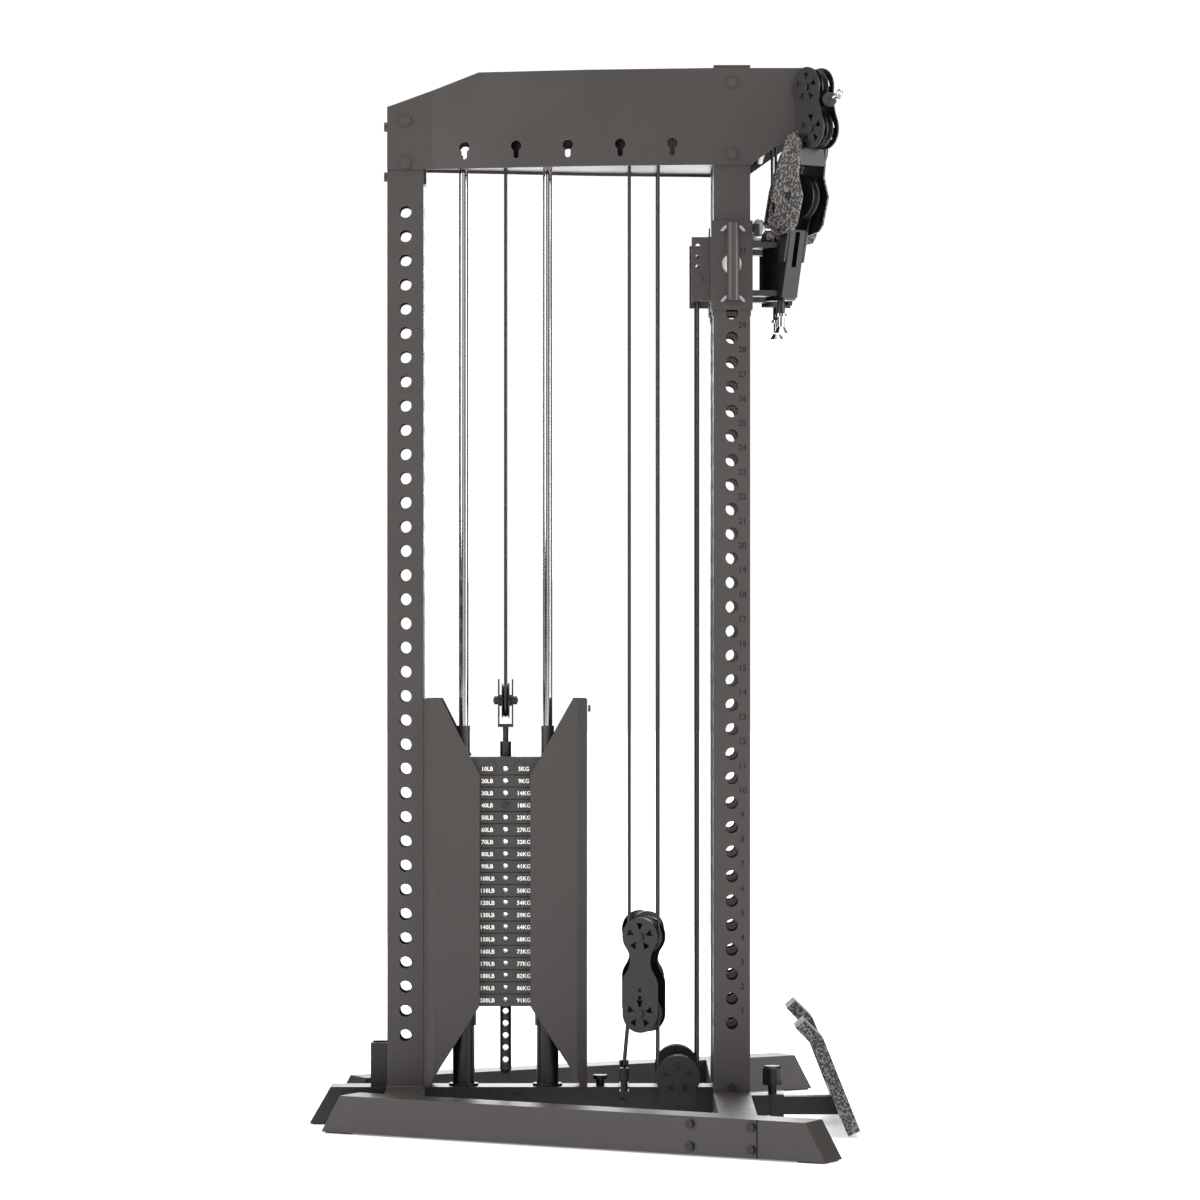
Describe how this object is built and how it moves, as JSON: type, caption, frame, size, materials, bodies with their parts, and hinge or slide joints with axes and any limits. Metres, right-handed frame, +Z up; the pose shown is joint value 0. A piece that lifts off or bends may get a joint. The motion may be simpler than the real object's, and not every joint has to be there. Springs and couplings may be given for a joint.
{
  "type": "dual cable tower",
  "caption": "Free-standing double cable trainer: rear and twin front uprights on a splayed base, a pin-selected weight stack and two swivelling pulley arms on sliding trolleys.",
  "frame": {"origin": "on the floor, at the bottom centre of the bounding box", "axes": "+X towards the side the user stands on, +Y to the right of a user facing the tower, reversed when seen from behind, +Z up"},
  "size_m": [1.141, 1.4918, 2.2098],
  "materials": {
    "frame_paint": "charcoal powder coat, semi-gloss",
    "black_paint": "black powder coat, satin",
    "hammertone_paint": "speckled hammertone",
    "chrome": "bright plated",
    "pulley_nylon": "moulded black nylon",
    "rubber": "matt",
    "cable_jacket": "nylon-coated wire rope",
    "black_steel": "black oxide",
    "weight_iron": "black painted steel plate"
  },
  "bodies": {
    "frame": {"rear_upright": "frame_paint", "front_uprights": "frame_paint", "feet": "frame_paint", "centre_beam": "frame_paint", "cross_members": "frame_paint", "gusset_plates": "frame_paint", "top_pulley_frame": "frame_paint", "top_pulleys": "pulley_nylon", "guide_rods": "chrome", "stack_supports": "black_paint", "weight_plates": "weight_iron", "shroud_rear": "frame_paint", "shroud_front": "frame_paint", "base_brackets": "black_paint", "foot_rail": "frame_paint", "frame_bolts": "black_steel", "floor_pads": "rubber", "stack_cable": "cable_jacket", "side_cable_left": "cable_jacket", "side_cable_right": "cable_jacket"},
    "stack": {"lifted_plates": "weight_iron", "selector_stem": "chrome", "stack_clevis": "black_steel"},
    "stack_pulley": {"stack_pulley": "pulley_nylon"},
    "selector_pin": {"selector_pin": "black_steel"},
    "foot_plate": {"foot_plate": "hammertone_paint"},
    "foot_pin": {"foot_pin": "black_paint"},
    "trolley_left": {"trolley_left": "frame_paint"},
    "handle_left": {"trolley_handle_left": "chrome"},
    "yoke_left": {"yoke_left": "black_paint"},
    "yoke_pin_left": {"yoke_pin_left": "chrome"},
    "arm_left": {"arm_left": "hammertone_paint", "head_plates_left": "black_paint", "cable_stop_left": "rubber"},
    "arm_pin_left": {"arm_pin_left": "chrome"},
    "arm_pulley_left": {"arm_pulley_left": "pulley_nylon"},
    "head_pulley_low_left": {"head_pulley_low_left": "pulley_nylon"},
    "head_pulley_high_left": {"head_pulley_high_left": "pulley_nylon"},
    "block_left": {"block_body_left": "black_paint"},
    "block_pulley_high_left": {"block_pulley_high_left": "pulley_nylon"},
    "block_pulley_low_left": {"block_pulley_low_left": "pulley_nylon"},
    "low_pulley_left": {"low_pulley_left": "pulley_nylon"},
    "trolley_right": {"trolley_right": "frame_paint"},
    "handle_right": {"trolley_handle_right": "chrome"},
    "yoke_right": {"yoke_right": "black_paint"},
    "yoke_pin_right": {"yoke_pin_right": "chrome"},
    "arm_right": {"arm_right": "hammertone_paint", "head_plates_right": "black_paint", "cable_stop_right": "rubber"},
    "arm_pin_right": {"arm_pin_right": "chrome"},
    "arm_pulley_right": {"arm_pulley_right": "pulley_nylon"},
    "head_pulley_low_right": {"head_pulley_low_right": "pulley_nylon"},
    "head_pulley_high_right": {"head_pulley_high_right": "pulley_nylon"},
    "block_right": {"block_body_right": "black_paint"},
    "block_pulley_high_right": {"block_pulley_high_right": "pulley_nylon"},
    "block_pulley_low_right": {"block_pulley_low_right": "pulley_nylon"},
    "low_pulley_right": {"low_pulley_right": "pulley_nylon"}
  },
  "joints": [
    {"name": "stack_lift", "type": "slide", "parent": "frame", "child": "stack", "axis": [0, 0, 1], "range_m": [0, 1], "deforming": ["stack_cable"]},
    {"name": "stack_pulley_spin", "type": "hinge", "parent": "stack", "child": "stack_pulley", "pos_m": [-0.16, 0, 0.889], "axis": [1, 0, 0], "continuous": true},
    {"name": "selector_pin_pull", "type": "slide", "parent": "stack", "child": "selector_pin", "axis": [0, -1, 0], "range_m": [0, 0.075]},
    {"name": "foot_plate_reach", "type": "slide", "parent": "frame", "child": "foot_plate", "axis": [1, 0, 0], "range_m": [0, 0.12]},
    {"name": "foot_pin_pull", "type": "slide", "parent": "frame", "child": "foot_pin", "axis": [0, 0, 1], "range_m": [0, 0.02], "stiffness_N_per_m": 1500, "springref_m": -0.004},
    {"name": "trolley_height_left", "type": "slide", "parent": "frame", "child": "trolley_left", "axis": [0, 0, 1], "range_m": [-1.4224, 0], "deforming": ["side_cable_left"]},
    {"name": "handle_pull_left", "type": "slide", "parent": "trolley_left", "child": "handle_left", "axis": [0, -1, 0], "range_m": [0, 0.02], "stiffness_N_per_m": 1500, "springref_m": -0.004},
    {"name": "swivel_left", "type": "hinge", "parent": "trolley_left", "child": "yoke_left", "pos_m": [0.4045, -0.106, 1.79], "axis": [0, 0, 1], "range_deg": [-6, 64]},
    {"name": "yoke_pin_pull_left", "type": "slide", "parent": "yoke_left", "child": "yoke_pin_left", "axis": [0, 0, -1], "range_m": [0, 0.012], "stiffness_N_per_m": 1500, "springref_m": -0.004},
    {"name": "arm_tilt_left", "type": "hinge", "parent": "yoke_left", "child": "arm_left", "pos_m": [0.45622, -0.17219, 1.934], "axis": [0.788, 0.6157, 0], "range_deg": [0, 110]},
    {"name": "arm_pin_pull_left", "type": "slide", "parent": "arm_left", "child": "arm_pin_left", "axis": [-0.788, -0.6157, 0], "range_m": [0, 0.012], "stiffness_N_per_m": 1500, "springref_m": -0.004},
    {"name": "arm_pulley_spin_left", "type": "hinge", "parent": "yoke_left", "child": "arm_pulley_left", "pos_m": [0.45622, -0.17219, 1.934], "axis": [0.788, 0.6157, 0], "continuous": true},
    {"name": "head_low_spin_left", "type": "hinge", "parent": "arm_left", "child": "head_pulley_low_left", "pos_m": [0.48823, -0.21317, 2.07], "axis": [0.788, 0.6157, 0], "continuous": true},
    {"name": "head_high_spin_left", "type": "hinge", "parent": "arm_left", "child": "head_pulley_high_left", "pos_m": [0.479, -0.20135, 2.157], "axis": [0.788, 0.6157, 0], "continuous": true},
    {"name": "block_rise_left", "type": "slide", "parent": "frame", "child": "block_left", "axis": [0, 0, 1], "range_m": [0, 0.7112]},
    {"name": "block_high_spin_left", "type": "hinge", "parent": "block_left", "child": "block_pulley_high_left", "pos_m": [0.13, -0.105, 0.4], "axis": [0.4226, 0.9063, 0], "continuous": true},
    {"name": "block_low_spin_left", "type": "hinge", "parent": "block_left", "child": "block_pulley_low_left", "pos_m": [0.13, -0.105, 0.24], "axis": [0.4226, 0.9063, 0], "continuous": true},
    {"name": "low_pulley_spin_left", "type": "hinge", "parent": "frame", "child": "low_pulley_left", "pos_m": [0.2009, -0.119, 0.1085], "axis": [0, 1, 0], "continuous": true},
    {"name": "trolley_height_right", "type": "slide", "parent": "frame", "child": "trolley_right", "axis": [0, 0, 1], "range_m": [-1.4224, 0], "deforming": ["side_cable_right"]},
    {"name": "handle_pull_right", "type": "slide", "parent": "trolley_right", "child": "handle_right", "axis": [0, 1, 0], "range_m": [0, 0.02], "stiffness_N_per_m": 1500, "springref_m": -0.004},
    {"name": "swivel_right", "type": "hinge", "parent": "trolley_right", "child": "yoke_right", "pos_m": [0.4045, 0.106, 1.79], "axis": [0, 0, -1], "range_deg": [-6, 64]},
    {"name": "yoke_pin_pull_right", "type": "slide", "parent": "yoke_right", "child": "yoke_pin_right", "axis": [0, 0, -1], "range_m": [0, 0.012], "stiffness_N_per_m": 1500, "springref_m": -0.004},
    {"name": "arm_tilt_right", "type": "hinge", "parent": "yoke_right", "child": "arm_right", "pos_m": [0.45622, 0.17219, 1.934], "axis": [-0.788, 0.6157, 0], "range_deg": [0, 110]},
    {"name": "arm_pin_pull_right", "type": "slide", "parent": "arm_right", "child": "arm_pin_right", "axis": [-0.788, 0.6157, 0], "range_m": [0, 0.012], "stiffness_N_per_m": 1500, "springref_m": -0.004},
    {"name": "arm_pulley_spin_right", "type": "hinge", "parent": "yoke_right", "child": "arm_pulley_right", "pos_m": [0.45622, 0.17219, 1.934], "axis": [-0.788, 0.6157, 0], "continuous": true},
    {"name": "head_low_spin_right", "type": "hinge", "parent": "arm_right", "child": "head_pulley_low_right", "pos_m": [0.48823, 0.21317, 2.07], "axis": [-0.788, 0.6157, 0], "continuous": true},
    {"name": "head_high_spin_right", "type": "hinge", "parent": "arm_right", "child": "head_pulley_high_right", "pos_m": [0.479, 0.20135, 2.157], "axis": [-0.788, 0.6157, 0], "continuous": true},
    {"name": "block_rise_right", "type": "slide", "parent": "frame", "child": "block_right", "axis": [0, 0, 1], "range_m": [0, 0.7112]},
    {"name": "block_high_spin_right", "type": "hinge", "parent": "block_right", "child": "block_pulley_high_right", "pos_m": [0.13, 0.105, 0.4], "axis": [-0.4226, 0.9063, 0], "continuous": true},
    {"name": "block_low_spin_right", "type": "hinge", "parent": "block_right", "child": "block_pulley_low_right", "pos_m": [0.13, 0.105, 0.24], "axis": [-0.4226, 0.9063, 0], "continuous": true},
    {"name": "low_pulley_spin_right", "type": "hinge", "parent": "frame", "child": "low_pulley_right", "pos_m": [0.2009, 0.119, 0.1085], "axis": [0, 1, 0], "continuous": true}
  ],
  "couplings": [
    {"joint": "block_rise_left", "follows": "trolley_height_left", "ratio": -0.5},
    {"joint": "block_rise_right", "follows": "trolley_height_right", "ratio": -0.5}
  ]
}
